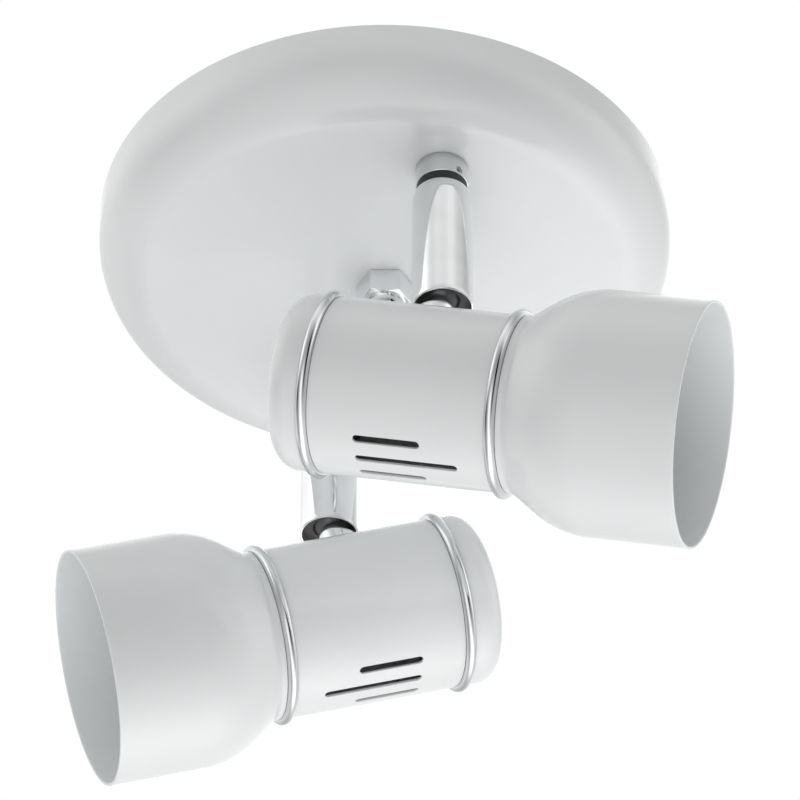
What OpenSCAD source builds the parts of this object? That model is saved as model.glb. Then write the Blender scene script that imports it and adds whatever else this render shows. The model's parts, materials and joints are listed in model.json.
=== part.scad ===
// Twin spotlight for a ceiling: a round ceiling plate with two stems that turn, and on each
// stem a head that tilts on a ball. The origin is the centre of the plate's rim, on the
// ceiling, and the ceiling is above it (+Z). Everything hangs below z = 0.

/* [Ceiling plate] */
// Diameter of the plate
plate_d = 180; // [172:1:230]
// Depth of the plate below the ceiling
plate_h = 26.2; // [24:0.2:34]
// Radius of the rounding between the rim and the face
plate_round = 17; // [6:0.5:20]
// Thickness of the plate's sheet
plate_wall = 1; // [0.6:0.1:1.6]

/* [Ceiling strap] */
// Length of the strap
strap_len = 130; // [124:1:160]
// Width of the strap
strap_w = 22; // [19:1:28]
// Thickness of the strap
strap_t = 2; // [1.5:0.1:3]
// Distance between the two screw slots
strap_slot_pitch = 96; // [92:1:104]
// Width of a screw slot
strap_slot_w = 4.8; // [4:0.2:6]
// Length of a screw slot, end to end
strap_slot_len = 14; // [8:1:18]

/* [Centre fixing] */
// Diameter of the threaded stud
stud_d = 8; // [6:1:8]
// Width across flats of the nut under the strap
stud_nut_af = 13; // [12:0.5:14]
// Height of the nut under the strap
stud_nut_h = 5; // [4:0.5:6]
// Width across flats of the visible cap nut
cap_nut_af = 16; // [13.4:0.2:17]
// Height of the cap nut's hexagon
cap_nut_hex_h = 8.6; // [6:0.2:10]
// Diameter of the cap nut's dome
cap_nut_dome_d = 13.2; // [11:0.2:13.2]
// Solid metal left over the end of the stud
cap_nut_crown = 3; // [2:0.5:5]

/* [Terminal block] */
// Number of poles
pole_count = 3; // [2:1:3]
// Distance from pole to pole
pole_pitch = 7.5; // [7:0.5:8]
// Width of the block, across the strap
block_w = 17; // [16:0.5:18]
// Height of the block
block_h = 12.5; // [11:0.5:14]
// Distance of the block's middle from the plate's centre
block_x = 22.5; // [21.5:0.5:24]
// Outer diameter of a pole's brass tube
clamp_d = 4.4; // [4:0.1:4.6]
// Bore of a pole's brass tube
clamp_bore = 2.8; // [2.2:0.1:3]
// Diameter of a clamping screw's shank
clamp_screw_d = 2.2; // [1.8:0.1:2.4]
// Distance between the two screws of a pole
clamp_screw_pitch = 8; // [7:0.5:9]
// Diameter of the earth screw
earth_d = 4; // [3:0.5:5]
// Distance of the earth screw from the plate's centre
earth_x = 20; // [16:1:26]

/* [Stem places] */
// Distance between the two stems
stem_spacing = 112.4; // [104:1:116]
// Bearing of the first stem from +X
stem_bearing = -72; // [-85:1:-60]

/* [Collars] */
// Outer diameter of a collar
collar_d = 16.2; // [15.6:0.2:18]
// Height of a collar
collar_h = 7.4; // [7.4:0.2:10]
// Outer diameter of the threaded tube that holds a collar
nipple_d = 10; // [9:0.5:10.6]
// Bore of the threaded tube
nipple_bore = 7.2; // [5:0.2:7.4]
// Length of thread in the collar
nipple_grip = 4; // [3:0.2:4.2]
// Length of the threaded tube above its nut
nipple_stub = 3; // [1:0.5:5]
// Width across flats of the nut on the threaded tube
nipple_nut_af = 14; // [13:0.5:17]
// Height of that nut
nipple_nut_h = 3; // [2:0.5:5]

/* [Turning joint] */
// Diameter of the spigot that turns in the collar
spigot_d = 11.8; // [11:0.2:12.2]
// Diameter of the black washer under the collar
washer_d = 15.6; // [13.4:0.2:15.6]
// Thickness of the black washer
washer_t = 3.4; // [1:0.1:3.6]
// Diameter of the stop screw
stop_screw_d = 2.5; // [2:0.1:2.6]
// Height of the stop screw above the collar's lower end
stop_screw_rise = 1.8; // [1.7:0.1:1.9]
// Bearing of the stop screw
stop_screw_bearing = -49.3; // [-70:1:-30]
// Diameter of the stop screw's tip
stop_tip_d = 1.5; // [1.2:0.1:1.7]
// Depth of the groove that the tip runs in
stop_groove = 1; // [0.6:0.1:1.2]
// Furthest bearing of a head towards the other head
pan_in = 25; // [15:1:30]
// Furthest bearing of a head away from the other head
pan_out = -170; // [-172:1:-150]

/* [Stems] */
// Outer diameter of a stem
stem_d = 18.5; // [18:0.1:20]
// Wall of a stem
stem_wall = 0.65; // [0.5:0.05:0.7]
// Length of a stem
stem_len = 45.8; // [45.5:0.1:80]
// Height of the rounded shoulder at the stem's top
shoulder_h = 4; // [2:0.5:5]
// How far the shoulder draws in
shoulder_in = 0.85; // [0.3:0.05:0.9]
// Thickness of the stem's closed top
stem_top = 2; // [2:0.1:3]
// Thickness of the flange that holds the spigot in the stem
flange_t = 1.5; // [1:0.1:2.5]
// Wall of the spacer sleeve
sleeve_wall = 1.2; // [0.8:0.1:1.3]
// Thickness of the lip that the spring bears on
sleeve_lip = 1.2; // [0.8:0.1:2]

/* [Joint spring] */
// Outer diameter of the spring
spring_d = 13.4; // [12:0.2:14.4]
// Diameter of the spring's wire
spring_wire = 1.2; // [0.8:0.1:1.3]
// Number of turns
spring_turns = 4.5; // [3:0.5:4.5]
// Length of the spring when fitted
spring_len = 11; // [10.6:0.2:13]

/* [Ball joint] */
// Diameter of the ball
ball_d = 12.8; // [12.6:0.1:13.2]
// Height of the ball's centre above the stem's end
ball_inset = 6.45; // [6.2:0.05:7]
// Thickness of black cup over the ball
cup_crown = 3.5; // [2.5:0.1:5]
// Bore of the cup
cup_bore = 6; // [5:0.2:6.4]
// Distance of the seat's open end below the ball's centre
seat_depth = 3.7; // [3.4:0.05:3.75]
// Diameter of the stalk between the ball and the neck
stalk_d = 6.8; // [6.2:0.1:7]
// Diameter of the neck
neck_d = 12; // [11:0.1:12.1]
// Distance of the neck's upper end below the ball's centre
neck_drop = 6.2; // [6.1:0.05:6.5]
// Diameter of the threaded shank that goes into the head
shank_d = 8; // [7:0.5:8]
// Bore for the leads
lead_bore = 4.4; // [4:0.1:4.6]
// Width across flats of the nut inside the head
neck_nut_af = 13; // [12:0.5:14]
// Height of that nut
neck_nut_h = 4.5; // [3.5:0.5:5]
// Thickness of the curved washer inside the head, at its middle
saddle_t = 3; // [2:0.2:3.4]
// Diameter of the curved washer
saddle_d = 16; // [15:0.5:18]

/* [Pose of the heads] */
// Bearing of the first head
bearing_a = -8.5; // [-60:0.5:15]
// Tilt of the first head below level
tilt_a = 14.9; // [-17:0.1:17.6]
// Bearing of the second head, from -X
bearing_b = 5.8; // [-60:0.5:15]
// Tilt of the second head below level
tilt_b = 17.6; // [-17:0.1:17.6]

/* [Heads] */
// Distance of the head's axis below the ball's centre
head_drop = 40; // [39.6:0.1:44]
// Diameter of the head's body
body_d = 53; // [52:0.1:53.6]
// Wall of the body
body_wall = 0.9; // [0.6:0.05:1.1]
// Distance of the rear ring behind the ball
rear_ring_x = 24.95; // [23:0.5:30]
// Distance of the front ring before the ball
front_ring_x = 32.4; // [31:0.5:40]
// Diameter of the rings
ring_d = 56.6; // [55.4:0.1:58]
// Width of a ring's bead
ring_w = 3.2; // [2.4:0.1:4]
// Length of the sleeve on each side of a ring
ring_sleeve = 4; // [2.5:0.5:5]
// Wall of a ring's sleeve
ring_sleeve_t = 0.8; // [0.6:0.05:1]
// Length of the rear cap
cap_len = 10.4; // [10:0.2:16]
// Rounding of the rear cap
cap_round = 6.5; // [3:0.5:8]

/* [Vent slots] */
// Width of a vent slot
vent_w = 2.5; // [1.5:0.1:3.5]
// Length of the two outer slots
vent_short = 20.4; // [10:0.2:24]
// Length of the middle slot
vent_long = 31.2; // [12:0.2:36]
// Distance of the slots' rear ends behind the ball
vent_rear_x = 9.4; // [4:0.2:14]
// Angle from slot to slot
vent_step = 16.5; // [12:0.5:24]

/* [Shades] */
// Diameter of the shade's mouth
mouth_d = 73.2; // [70:0.2:84]
// Length of the shade
shade_len = 56; // [50:0.5:70]
// Length of the straight neck before the flare
shade_neck = 2; // [0.5:0.5:4]
// Slope of the flare
flare_angle = 34; // [30:0.5:38]
// Radius of the bend between the flare and the straight part
flare_round = 30; // [16:0.5:32]
// Wall of the shade
shade_wall = 0.9; // [0.6:0.05:1.1]

/* [Lampholder] */
// Diameter of the lampholder
holder_d = 26; // [24:0.2:26.4]
// Length of the lampholder
holder_len = 33.5; // [32:0.5:36]
// Diameter of the lampholder's rear part
holder_rear_d = 22; // [18:0.5:23]
// Length of the lampholder's rear part
holder_rear_len = 9; // [6:0.5:10]
// Thickness of the lampholder's floor
holder_floor = 7.5; // [6.5:0.1:8]
// Diameter of the lampholder's threaded stub
stub_d = 10; // [9:0.5:11]
// Thickness of the bracket
bracket_t = 1.2; // [1:0.1:1.5]
// Height of the nut behind the bracket
holder_nut_h = 2.4; // [1.8:0.1:2.6]
// Height of the sprung centre contact
contact_h = 3; // [2:0.2:3.4]
// Wall of the threaded contact shell
contact_wall = 0.4; // [0.3:0.05:0.5]
// Diameter of a lead hole in the lampholder
wire_hole_d = 2.4; // [2.1:0.1:2.8]

/* [Reflector lamp] */
// Diameter of the lamp
lamp_d = 50; // [46:1:51]
// Length of the lamp
lamp_len = 85; // [82:1:87]
// Diameter of the lamp's screw cap
lamp_cap_d = 13.8; // [13.4:0.1:14]
// Length of the lamp's screw cap
lamp_cap_len = 23; // [20:0.5:25]
// Diameter of the lamp's glass neck
lamp_neck_d = 11; // [9:0.1:11.6]
// Thickness of the lamp's glass
glass_wall = 0.9; // [0.7:0.1:1.2]

/* [Leads] */
// Diameter of an insulated lead
lead_d = 1.8; // [1.2:0.1:2]
// Distance between two leads, centre to centre
lead_pitch = 2.1; // [2.05:0.05:2.3]

/* [Fits] */
// Clearance between pieces that are seated in or on each other
fit = 0.05; // [0.02:0.01:0.08]

/* [Hidden] */
$fn = 96;

white_paint = [0.93, 0.93, 0.93];
chrome = [0.78, 0.79, 0.80];
zinc = [0.66, 0.67, 0.68];
brass = [0.80, 0.65, 0.35];
black_plastic = [0.12, 0.12, 0.12];
ceramic = [0.95, 0.94, 0.90];
clear_glass = [0.85, 0.88, 0.90];
lead_white = [0.90, 0.90, 0.86];

// Overshoot of a cut past the face that it opens
over = 1;

// Ceiling plate and what it holds
plate_r = plate_d / 2;
plate_floor = -plate_h + plate_wall;
strap_bottom = -strap_t;
cap_nut_h = cap_nut_hex_h + cap_nut_dome_d / 2;
cap_nut_top = -plate_h - fit;
stud_end = cap_nut_top - cap_nut_h + cap_nut_crown;
stud_top = -0.2;
block_margin = 0.5;
block_len = pole_count * pole_pitch + 2 * block_margin;
block_top = strap_bottom - fit;
pole_z = block_top - block_h / 2;
pole_xs = [for (i = [0 : pole_count - 1]) -block_x + (i - (pole_count - 1) / 2) * pole_pitch];
gap_xs = [for (i = [0 : pole_count - 2]) pole_xs[i] + pole_pitch / 2];
pole_groove = 1.2;
peg_d = 2.8;
clamp_set_in = 1.5;
clamp_screw_tip = 0.4;
clamp_screw_rise = 2;
clamp_screw_head_d = 3.2;
clamp_screw_head_h = 1.2;
clamp_screw_head = pole_z - clamp_d / 2 - clamp_screw_rise;
earth_head_d = 2 * earth_d;
earth_head_h = 2.4;
earth_stub = 3.5;
driver_slot = 0.7;
// Slope of the cone that turns down the cap nut's corners
cap_nut_slope = 0.6;

// Collar and turning joint
collar_end = -plate_h - fit - collar_h;
nipple_end = -plate_h - nipple_grip;
nipple_top = plate_floor + fit + nipple_nut_h + nipple_stub;
spigot_top = nipple_end - 2 * fit;
washer_end = collar_end - fit - washer_t;
stem_z = washer_end - fit;
collar_bevel = 0.3;
stop_z = collar_end + stop_screw_rise;
stop_tip_shoulder = 0.3;
stop_screw_set_in = 0.7;
stop_key_af = 1.2;
stop_key_depth = 0.9;
spigot_r = spigot_d / 2;
collar_bore_r = spigot_r + fit;
groove_r = spigot_r - stop_groove;
tip_half_angle = asin(stop_tip_d / 2 / groove_r);
groove_margin = 2;
groove_from = stop_screw_bearing - pan_in - tip_half_angle - groove_margin;
groove_span = pan_in - pan_out + 2 * (tip_half_angle + groove_margin);
spigot_bore = nipple_bore;

// Stem and ball joint
stem_r = stem_d / 2;
stem_bore_r = stem_r - stem_wall;
// Radius of the arc that draws in by shoulder_in over shoulder_h
shoulder_bend = (pow(shoulder_h, 2) + pow(shoulder_in, 2)) / (2 * shoulder_in);
stem_end = stem_z - stem_len;
core_r = stem_bore_r - fit;
stem_ceiling = stem_z - stem_top;
flange_end = stem_ceiling - fit - flange_t;
ball_r = ball_d / 2;
ball_z = stem_end + ball_inset;
socket_r = ball_r + fit;
cup_top = ball_z + ball_r + cup_crown;
cup_end = ball_z + fit;
spring_top = cup_top + spring_len + fit;
sleeve_top = flange_end - fit;
sleeve_end = spring_top + fit;

// Helix of the joint spring
spring_path_r = (spring_d - spring_wire) / 2;
spring_rise = spring_len - spring_wire;
spring_steps = 16;
spring_path = [for (i = [0 : spring_turns * spring_steps]) let (a = 360 * i / spring_steps)
    [spring_path_r * cos(a), spring_path_r * sin(a),
     cup_top + fit + spring_wire / 2 + spring_rise * i / (spring_turns * spring_steps)]];
echo(gap_between_spring_turns = spring_rise / spring_turns - spring_wire);

// Head, with its origin on its own axis straight below the ball
body_r = body_d / 2;
body_bore_r = body_r - body_wall;
sleeve_r = body_bore_r - fit;
rear_seam = -rear_ring_x;
front_seam = front_ring_x;
half_ring = ring_w / 2 + fit;
cap_front = rear_seam - half_ring;
cap_end = cap_front - cap_len;
shade_x = front_seam + half_ring;
mouth_x = shade_x + shade_len;
mouth_r = mouth_d / 2;
shade_neck_r = body_bore_r + shade_wall;
flare_steps = 24;
bend_r = mouth_r - flare_round * (1 - cos(flare_angle));
bend_x = shade_x + shade_neck + (bend_r - shade_neck_r) / tan(flare_angle);
straight_x = bend_x + flare_round * sin(flare_angle);
saddle_flat = body_bore_r - saddle_t;
nut_low = saddle_flat - fit - neck_nut_h;
shank_r = shank_d / 2;
shank_tail = 0.3;
shank_end = nut_low - shank_tail;
neck_bevel = 0.4;
// Lower end of the neck, from its upper end, before the body's round is cut out of it
neck_tuck = 3;
neck_foot = body_r - head_drop + neck_drop - neck_tuck;

// Lampholder and lamp, from the bracket forwards
bracket_front = rear_seam - half_ring - ring_sleeve;
bracket_rear = bracket_front - bracket_t;
holder_rear = bracket_front + fit;
holder_front = holder_rear + holder_len;
bracket_vent_r = 3.5;
holder_nut_rear = bracket_rear - fit - holder_nut_h;
holder_bore_r = lamp_cap_d / 2 + 2 * fit + contact_wall + fit;
holder_floor_x = holder_rear + holder_floor;
lamp_tip = holder_floor_x + fit + contact_h + fit;
lamp_face = lamp_tip + lamp_len;
holder_nut_af = stub_d + 4;
contact_front = holder_front - 3;
contact_base_r = 3.6;
contact_tip_r = 2;
wire_hole_x = holder_rear + holder_rear_len + 2.5;
wire_hole_depth = 3;
lamp_steps = 14;
// How far the glass goes into the cap
lamp_rim = lamp_cap_len - 1;
// Where the lamp's face starts to round off, and its radii
lamp_edge = 5;
lamp_edge_mid = [1.2, 2.5];
lamp_edge_end = [4, 0.9];
lamp_crown = 0.2;
// Bare end of the lamp's cap before its threaded shell, and the beads that stand for its thread
cap_nose_len = 4.5;
cap_bead_r = 0.75;
cap_bead_pitch = 2.8;
cap_bead_count = 5;
cap_shell_r = lamp_cap_d / 2 - 0.6;

// Leads. Two run along each route, set apart by the spread at each of its points. Plate leads
// start in two brass tubes, reach over to a stem's place and drop into its threaded tube.
lead_steps = 3;
lead_end_gap = 0.4;
lead_start = [(pole_xs[0] + pole_xs[1]) / 2, block_w / 2 + 1];
lead_shares = [0.08, 0.22, 0.45, 0.7, 0.88, 0.97];
lead_heights = [pole_z - 0.2, pole_z - 0.9, pole_z - 2, nipple_top + 8, nipple_top + 7, nipple_top + 4];
plate_spread = [pole_pitch, pole_pitch, pole_pitch, 6.9, 5.2, 3.2, 2.9, 2.6, lead_pitch, lead_pitch,
    lead_pitch];
function lead_way(i) = stem_xy(i) - [lead_start[0], side_of(i) * lead_start[1]];
function plate_route(i) = let (q = [lead_start[0], side_of(i) * lead_start[1]], s = stem_xy(i)) concat(
    [[q[0], side_of(i) * clamp_screw_pitch / 3, pole_z],
     [q[0], side_of(i) * (block_w / 2 - clamp_set_in), pole_z], [q[0], q[1], pole_z]],
    [for (k = [0 : len(lead_shares) - 1])
        concat(q + lead_shares[k] * lead_way(i), [lead_heights[k]])],
    [concat(s, [nipple_top - 1]), concat(s, [nipple_end + lead_end_gap])]);
// Head leads run from the neck under its nut to a hole in the lampholder
head_lead_z = (holder_d / 2 + shank_end) / 2;
head_route = [[0, 0, shank_end + 5.5], [0, 0, shank_end + 0.9], [-0.35, 0, shank_end - 0.2],
    [-1.8, 0, head_lead_z + 0.25], [-5, 0, head_lead_z], [-11, 0, head_lead_z],
    [wire_hole_x + 2, 0, head_lead_z - 0.3], [wire_hole_x + 0.1, 0, holder_d / 2 + 0.7],
    [wire_hole_x, 0, holder_d / 2 - wire_hole_depth + lead_end_gap]];
head_spread = [for (p = head_route) lead_pitch];

// Places

// The first stem's place is towards -Y, and the second's is opposite
function side_of(i) = i == 0 ? -1 : 1;
function stem_xy(i) = -side_of(i) * stem_spacing / 2 * [cos(stem_bearing), sin(stem_bearing)];
function head_bearing(i) = i == 0 ? bearing_a : 180 + bearing_b;

module at_place(i) { translate(stem_xy(i)) rotate([0, 0, 180 * i]) children(); }

module at_stem(i) { translate(stem_xy(i)) rotate([0, 0, head_bearing(i)]) children(); }

module at_head(i) {
    at_stem(i) translate([0, 0, ball_z]) rotate([0, i == 0 ? tilt_a : tilt_b, 0])
        translate([0, 0, -head_drop]) children();
}

// Shapes that repeat

// Cylinder between two heights
module rod(r, low, high) { translate([0, 0, low]) cylinder(r = r, h = high - low); }

// Tube between two heights
module pipe(r, bore, low, high) {
    difference() { rod(r, low, high); rod(bore, low - over, high + over); }
}

// Rectangle in a turned section: radius from r0 to r1, height from low to high
module band(r0, r1, low, high) { translate([r0, low]) square([r1 - r0, high - low]); }

// Lays a turned piece along the head's axis, its height running forwards
module turned_x() { rotate([0, 90, 0]) rotate_extrude() children(); }

module bar_x(r, low, high) { rotate([0, 90, 0]) rod(r, low, high); }

// Outline with round ends, its length along X
module stadium(len, w) {
    square([len - w, w], center = true);
    for (s = [-1, 1]) translate([s * (len - w) / 2, 0]) circle(d = w);
}

// Hexagon prism, with flats facing +-Y
module hexagon(af, low, high) {
    translate([0, 0, low]) cylinder(d = af / cos(30), h = high - low, $fn = 6);
}

// Hexagon nut with its corners turned down, on a thread of radius r
module hex_nut(af, low, high, r) {
    chamfer = (af / cos(30) - af) / 2;
    difference() {
        intersection() {
            hexagon(af, low, high);
            rotate_extrude() polygon([[0, low], [af / 2, low], [af / 2 + chamfer, low + chamfer],
                [af / 2 + chamfer, high - chamfer], [af / 2, high], [0, high]]);
        }
        rod(r + fit, low - over, high + over);
    }
}

// Smooth curve through the points: a Catmull-Rom spline with the ends repeated
function spline_point(a, b, c, d, t) = 0.5 * (2 * b + (c - a) * t
    + (2 * a - 5 * b + 4 * c - d) * t * t + (3 * b - 3 * c + d - a) * t * t * t);
function smooth_route(p, steps) = let (n = len(p)) concat(
    [for (i = [0 : n - 2]) for (k = [0 : steps - 1])
        spline_point(p[max(i - 1, 0)], p[i], p[i + 1], p[min(i + 2, n - 1)], k / steps)],
    [p[n - 1]]);

// Round tube along a path, as one closed mesh. No part of the path runs along the side vector.
function unit(v) = v / norm(v);
module swept_tube(path, r, sides, side) {
    n = len(path);
    rings = [for (i = [0 : n - 1])
        let (t = unit(path[min(i + 1, n - 1)] - path[max(i - 1, 0)]),
             u = unit(cross(t, side)), v = cross(t, u))
        for (k = [0 : sides - 1]) path[i] + r * (u * cos(360 * k / sides) + v * sin(360 * k / sides))];
    walls = [for (i = [0 : n - 2]) for (k = [0 : sides - 1])
        let (a = i * sides + k, b = i * sides + (k + 1) % sides)
        each [[a, a + sides, b], [b, a + sides, b + sides]]];
    start_cap = [for (k = [1 : sides - 2]) [0, k, k + 1]];
    last = (n - 1) * sides;
    end_cap = [for (k = [1 : sides - 2]) [last, last + k + 1, last + k]];
    polyhedron(points = rings, faces = concat(walls, start_cap, end_cap));
}

// Two insulated leads along a route, spread along the given direction
module lead_pair(route, spread, along, side) {
    for (s = [-1, 1]) {
        points = [for (i = [0 : len(route) - 1]) route[i] + s * spread[i] / 2 * along];
        swept_tube(smooth_route(points, lead_steps), lead_d / 2, 8, side);
    }
}

// Pieces on the ceiling plate

// Section of a round cup with a rounded rim, r by h, open at z = 0
module cup_section(r, h, round) {
    band(0, r, -(h - round), over);
    band(0, r - round, -h, over);
    translate([r - round, -(h - round)]) intersection() {
        circle(r = round);
        translate([0, -round]) square([round, 2 * round]);
    }
}

module ceiling_plate() color(white_paint) difference() {
    rotate_extrude($fn = 180) intersection() {
        difference() {
            cup_section(plate_r, plate_h, plate_round);
            cup_section(plate_r - plate_wall, plate_h - plate_wall, plate_round - plate_wall);
        }
        band(0, plate_r, -plate_h, 0);
    }
    rod(stud_d / 2 + fit, -plate_h - over, plate_floor + over);
    for (i = [0, 1]) at_place(i) rod(nipple_d / 2 + fit, -plate_h - over, plate_floor + over);
}

module ceiling_strap() color(zinc) difference() {
    translate([0, 0, strap_bottom]) linear_extrude(strap_t) stadium(strap_len, strap_w);
    translate([0, 0, strap_bottom - over]) {
        for (s = [-1, 1]) translate([s * strap_slot_pitch / 2, 0])
            linear_extrude(strap_t + 2 * over) stadium(strap_slot_len, strap_slot_w);
        cylinder(r = stud_d / 2 + fit, h = strap_t + 2 * over);
        translate([earth_x, 0]) cylinder(r = earth_d / 2 + fit, h = strap_t + 2 * over);
        for (x = gap_xs) translate([x, 0]) cylinder(r = peg_d / 2 + fit, h = strap_t + 2 * over);
    }
}

module centre_stud() color(zinc) rod(stud_d / 2, stud_end, stud_top);

module stud_nut() color(zinc)
    hex_nut(stud_nut_af, strap_bottom - fit - stud_nut_h, strap_bottom - fit, stud_d / 2);

module cap_nut() color(chrome) {
    dome_r = cap_nut_dome_d / 2;
    corner_r = cap_nut_af / 2 / cos(30);
    hex_end = cap_nut_top - cap_nut_hex_h;
    difference() {
        union() {
            intersection() {
                hexagon(cap_nut_af, hex_end, cap_nut_top);
                rotate_extrude() polygon([[0, hex_end], [cap_nut_af / 2, hex_end],
                    [corner_r, hex_end + (corner_r - cap_nut_af / 2) * cap_nut_slope],
                    [corner_r, cap_nut_top], [0, cap_nut_top]]);
            }
            intersection() {
                translate([0, 0, hex_end]) sphere(r = dome_r);
                rod(dome_r, hex_end - dome_r, hex_end + over);
            }
        }
        rod(stud_d / 2 + fit, stud_end - fit, cap_nut_top + over);
    }
}

// Block with a bore for each brass tube, held by pegs that push into the strap
module terminal_block() color(ceramic) difference() {
    union() {
        translate([-block_x - block_len / 2, -block_w / 2, block_top - block_h])
            cube([block_len, block_w, block_h]);
        for (x = gap_xs) translate([x, 0, 0]) rod(peg_d / 2, block_top - over, stud_top);
    }
    for (x = pole_xs) translate([x, 0, pole_z]) {
        rotate([90, 0, 0]) cylinder(r = clamp_d / 2 + fit, h = block_w + 2 * over, center = true);
        for (s = [-1, 1]) translate([0, s * clamp_screw_pitch / 2, -block_h])
            cylinder(r = clamp_screw_head_d / 2 + fit, h = block_h);
    }
    for (x = gap_xs) translate([x - pole_groove / 2, -block_w / 2 - over, block_top - block_h - over])
        cube([pole_groove, block_w + 2 * over, 2 * over]);
}

module terminal_tubes() color(brass) for (x = pole_xs) translate([x, 0, pole_z]) difference() {
    rotate([90, 0, 0]) cylinder(d = clamp_d, h = block_w - 2 * clamp_set_in, center = true);
    rotate([90, 0, 0]) cylinder(d = clamp_bore, h = block_w, center = true);
    for (s = [-1, 1]) translate([0, s * clamp_screw_pitch / 2, -clamp_d])
        cylinder(r = clamp_screw_d / 2 + fit, h = clamp_d);
}

// Screw with its head down and a driver's slot across it
module slotted_screw(r, tip, head_top, head_r, head_h) difference() {
    union() {
        rod(r, head_top, tip);
        rod(head_r, head_top - head_h, head_top);
    }
    translate([-head_r - over, -driver_slot / 2, head_top - head_h - over])
        cube([2 * (head_r + over), driver_slot, over + head_h / 2]);
}

module terminal_screws() color(zinc) for (x = pole_xs, s = [-1, 1])
    translate([x, s * clamp_screw_pitch / 2, 0]) slotted_screw(clamp_screw_d / 2,
        pole_z - clamp_bore / 2 + clamp_screw_tip, clamp_screw_head, clamp_screw_head_d / 2,
        clamp_screw_head_h);

module earth_screw() color(brass) translate([earth_x, 0, 0])
    slotted_screw(earth_d / 2, stud_top, strap_bottom - earth_stub, earth_head_d / 2, earth_head_h);

module collar(i) color(chrome) at_place(i) difference() {
    rotate_extrude() polygon([[0, collar_end], [collar_d / 2 - collar_bevel, collar_end],
        [collar_d / 2, collar_end + collar_bevel], [collar_d / 2, -plate_h - fit], [0, -plate_h - fit]]);
    rod(nipple_d / 2 + fit, nipple_end - fit, -plate_h + over);
    rod(collar_bore_r, collar_end - over, nipple_end - fit);
    translate([0, 0, stop_z]) rotate([0, 90, stop_screw_bearing])
        cylinder(r = stop_screw_d / 2 + fit, h = collar_d);
}

module collar_nipples() color(zinc) for (i = [0, 1]) at_place(i)
    pipe(nipple_d / 2, nipple_bore / 2, nipple_end, nipple_top);

module nipple_nuts() color(zinc) for (i = [0, 1]) at_place(i)
    hex_nut(nipple_nut_af, plate_floor + fit, plate_floor + fit + nipple_nut_h, nipple_d / 2);

// Headless screw in the collar's side, whose thin tip runs in the spigot's groove
module stop_screws() color(zinc) for (i = [0, 1]) at_place(i)
    translate([0, 0, stop_z]) rotate([0, 90, stop_screw_bearing]) difference() {
        union() {
            rod(stop_tip_d / 2, groove_r + fit, collar_bore_r + stop_tip_shoulder);
            rod(stop_screw_d / 2, collar_bore_r + stop_tip_shoulder, collar_d / 2 - stop_screw_set_in);
        }
        hexagon(stop_key_af, collar_d / 2 - stop_screw_set_in - stop_key_depth, collar_d / 2);
    }

module turning_washers() color(black_plastic) for (i = [0, 1]) at_place(i)
    pipe(washer_d / 2, collar_bore_r, washer_end, collar_end - fit);

module plate_leads() color(lead_white) {
    for (i = [0, 1]) lead_pair(plate_route(i), plate_spread, [1, 0, 0],
        unit([-lead_way(i)[1], lead_way(i)[0], 0]));
}

// Pieces of a stem

module stem_tube() color(chrome) difference() {
    rotate_extrude() {
        band(0, stem_r, stem_end, stem_z - shoulder_h);
        band(0, stem_r - shoulder_in, stem_z - shoulder_h, stem_z);
        intersection() {
            translate([stem_r - shoulder_bend, stem_z - shoulder_h]) circle(r = shoulder_bend, $fn = 180);
            band(stem_r - shoulder_in - over, stem_r, stem_z - shoulder_h, stem_z);
        }
    }
    rod(stem_bore_r, stem_end - over, stem_ceiling);
    rod(spigot_r + fit, stem_ceiling - over, stem_z + over);
}

module stem_spigot() color(brass) difference() {
    union() {
        rod(spigot_r, stem_ceiling - over, spigot_top);
        rod(core_r, flange_end, stem_ceiling - fit);
    }
    rod(spigot_bore / 2, flange_end - over, spigot_top + over);
    rotate([0, 0, groove_from]) rotate_extrude(angle = groove_span)
        band(groove_r, spigot_r + over, stop_z - stop_tip_d / 2 - fit, stop_z + stop_tip_d / 2 + fit);
}

module spacer_sleeve() color(black_plastic) difference() {
    rod(core_r, sleeve_end, sleeve_top);
    rod(core_r - sleeve_wall, sleeve_end + sleeve_lip, sleeve_top + over);
    rod(cup_bore / 2, sleeve_end - over, sleeve_top);
}

// Compression spring: one unbroken helix of round wire
module joint_spring() color(zinc)
    swept_tube(spring_path, spring_wire / 2, 6, [0, 0, 1]);

module ball_cup() color(black_plastic) difference() {
    rod(core_r, cup_end, cup_top);
    translate([0, 0, ball_z]) sphere(r = socket_r);
    rod(cup_bore / 2, cup_end - over, cup_top + over);
}

module ball_seat() color(black_plastic) difference() {
    rod(core_r, ball_z - seat_depth, cup_end - fit);
    translate([0, 0, ball_z]) sphere(r = socket_r);
    rod(socket_r, ball_z, ball_z + over);
}

module stem_leads() color(lead_white) for (s = [-1, 1]) translate([0, s * lead_pitch / 2, 0])
    rod(lead_d / 2, ball_z + ball_r + lead_end_gap, spigot_top - lead_end_gap);

// Pieces of a head

// Ball, stalk, neck and threaded shank in one, bored for the leads
module swivel_ball() color(chrome) difference() {
    union() {
        translate([0, 0, head_drop]) sphere(r = ball_r);
        rod(stalk_d / 2, head_drop - neck_drop - over, head_drop);
        difference() {
            translate([0, 0, head_drop - neck_drop]) rotate_extrude() polygon([
                [0, 0], [neck_d / 2 - neck_bevel, 0], [neck_d / 2, -neck_bevel],
                [neck_d / 2, neck_foot], [0, neck_foot]]);
            bar_x(body_r + fit, -neck_d, neck_d);
        }
        rod(shank_r, shank_end, head_drop - neck_drop - over);
    }
    rod(lead_bore / 2, shank_end - over, head_drop + ball_r + over);
}

module neck_saddle() color(zinc) difference() {
    intersection() {
        rod(saddle_d / 2, saddle_flat, body_bore_r);
        bar_x(body_bore_r - fit, -saddle_d, saddle_d);
    }
    rod(shank_r + fit, saddle_flat - over, body_r);
}

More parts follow.
